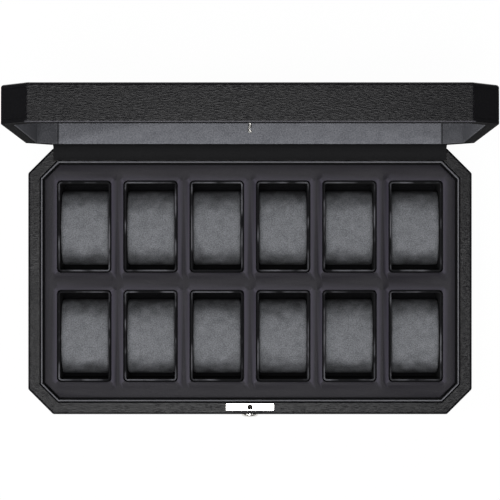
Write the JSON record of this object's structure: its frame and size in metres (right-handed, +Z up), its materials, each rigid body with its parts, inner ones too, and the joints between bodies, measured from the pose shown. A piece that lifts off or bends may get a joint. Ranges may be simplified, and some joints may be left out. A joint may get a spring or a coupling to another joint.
{
  "type": "watch box",
  "caption": "Octagonal leather-covered watch box with a hinged lid, lock and padded tray of pockets that hold lift-out suede pillows.",
  "frame": {"origin": "middle of the underside of the felt, where the box stands", "axes": "+X to the right along the front, +Y towards the hinges at the back, +Z up; the lid is stored open"},
  "size_m": [0.362, 0.2572, 0.2753],
  "materials": {
    "board": "raw fibreboard",
    "grained_leather": "fine grained black coated leather",
    "tray_leather": "smooth satin leather",
    "strip_leather": "smooth matt leather",
    "collar_card": "grey covered card",
    "liner_card": "suede covered card",
    "foam_block": "dense foam",
    "floor_card": "suede covered card",
    "felt": "black felt",
    "pillow_suede": "grey suede over foam",
    "lining_suede": "grey suede",
    "polished_nickel": "polished nickel plate",
    "hinge_steel": "plated steel"
  },
  "bodies": {
    "base": {"base_felt": "felt", "base_bottom_board": "board", "base_front_board": "board", "base_back_board": "board", "base_left_board": "board", "base_right_board": "board", "base_corner_boards": "board", "base_leather": "grained_leather", "inner_collar": "collar_card", "tray_floor": "floor_card", "tray_long_divider": "foam_block", "tray_cross_divider_1": "foam_block", "tray_cross_divider_2": "foam_block", "tray_cross_divider_3": "foam_block", "tray_cross_divider_4": "foam_block", "tray_cross_divider_5": "foam_block", "tray_front_rail": "foam_block", "tray_back_rail": "foam_block", "tray_left_rail": "foam_block", "tray_right_rail": "foam_block", "tray_pad": "tray_leather", "pocket_liners": "liner_card", "lock_plate": "polished_nickel", "lock_case": "hinge_steel", "key_escutcheon": "polished_nickel", "hinge_base_leaves": "hinge_steel", "hinge_base_screws": "hinge_steel", "hinge_pins": "hinge_steel", "hinge_strip": "strip_leather"},
    "lid": {"lid_top_board": "board", "lid_front_board": "board", "lid_back_board": "board", "lid_left_board": "board", "lid_right_board": "board", "lid_corner_boards": "board", "lid_leather": "grained_leather", "lid_wall_lining": "lining_suede", "lid_top_lining": "lining_suede", "catch_pin": "polished_nickel", "hinge_lid_leaves": "hinge_steel", "hinge_lid_screws": "hinge_steel"},
    "key_plug": {"key_cylinder": "polished_nickel"},
    "bolt": {"lock_bolt": "hinge_steel"},
    "pillow_back_1": {"pillow_back_1": "pillow_suede"},
    "pillow_back_2": {"pillow_back_2": "pillow_suede"},
    "pillow_back_3": {"pillow_back_3": "pillow_suede"},
    "pillow_back_4": {"pillow_back_4": "pillow_suede"},
    "pillow_back_5": {"pillow_back_5": "pillow_suede"},
    "pillow_back_6": {"pillow_back_6": "pillow_suede"},
    "pillow_front_1": {"pillow_front_1": "pillow_suede"},
    "pillow_front_2": {"pillow_front_2": "pillow_suede"},
    "pillow_front_3": {"pillow_front_3": "pillow_suede"},
    "pillow_front_4": {"pillow_front_4": "pillow_suede"},
    "pillow_front_5": {"pillow_front_5": "pillow_suede"},
    "pillow_front_6": {"pillow_front_6": "pillow_suede"}
  },
  "joints": [
    {"name": "lid_hinge", "type": "hinge", "parent": "base", "child": "lid", "pos_m": [0, 0.1107, 0.0562], "axis": [-1, 0, 0], "range_deg": [-91.6, 0], "deforming": ["hinge_strip"]},
    {"name": "key_turn", "type": "hinge", "parent": "base", "child": "key_plug", "pos_m": [0, -0.1085, 0.041], "axis": [0, -1, 0], "range_deg": [0, 90]},
    {"name": "bolt_slide", "type": "slide", "parent": "base", "child": "bolt", "axis": [-1, 0, 0], "range_m": [0, 0.0024]},
    {"name": "pillow_back_1_lift", "type": "slide", "parent": "base", "child": "pillow_back_1", "axis": [0, 0, 1], "range_m": [0, 0.07]},
    {"name": "pillow_back_2_lift", "type": "slide", "parent": "base", "child": "pillow_back_2", "axis": [0, 0, 1], "range_m": [0, 0.07]},
    {"name": "pillow_back_3_lift", "type": "slide", "parent": "base", "child": "pillow_back_3", "axis": [0, 0, 1], "range_m": [0, 0.07]},
    {"name": "pillow_back_4_lift", "type": "slide", "parent": "base", "child": "pillow_back_4", "axis": [0, 0, 1], "range_m": [0, 0.07]},
    {"name": "pillow_back_5_lift", "type": "slide", "parent": "base", "child": "pillow_back_5", "axis": [0, 0, 1], "range_m": [0, 0.07]},
    {"name": "pillow_back_6_lift", "type": "slide", "parent": "base", "child": "pillow_back_6", "axis": [0, 0, 1], "range_m": [0, 0.07]},
    {"name": "pillow_front_1_lift", "type": "slide", "parent": "base", "child": "pillow_front_1", "axis": [0, 0, 1], "range_m": [0, 0.07]},
    {"name": "pillow_front_2_lift", "type": "slide", "parent": "base", "child": "pillow_front_2", "axis": [0, 0, 1], "range_m": [0, 0.07]},
    {"name": "pillow_front_3_lift", "type": "slide", "parent": "base", "child": "pillow_front_3", "axis": [0, 0, 1], "range_m": [0, 0.07]},
    {"name": "pillow_front_4_lift", "type": "slide", "parent": "base", "child": "pillow_front_4", "axis": [0, 0, 1], "range_m": [0, 0.07]},
    {"name": "pillow_front_5_lift", "type": "slide", "parent": "base", "child": "pillow_front_5", "axis": [0, 0, 1], "range_m": [0, 0.07]},
    {"name": "pillow_front_6_lift", "type": "slide", "parent": "base", "child": "pillow_front_6", "axis": [0, 0, 1], "range_m": [0, 0.07]}
  ],
  "couplings": [
    {"joint": "key_turn", "follows": "bolt_slide", "rad_per_m": 653.36}
  ]
}
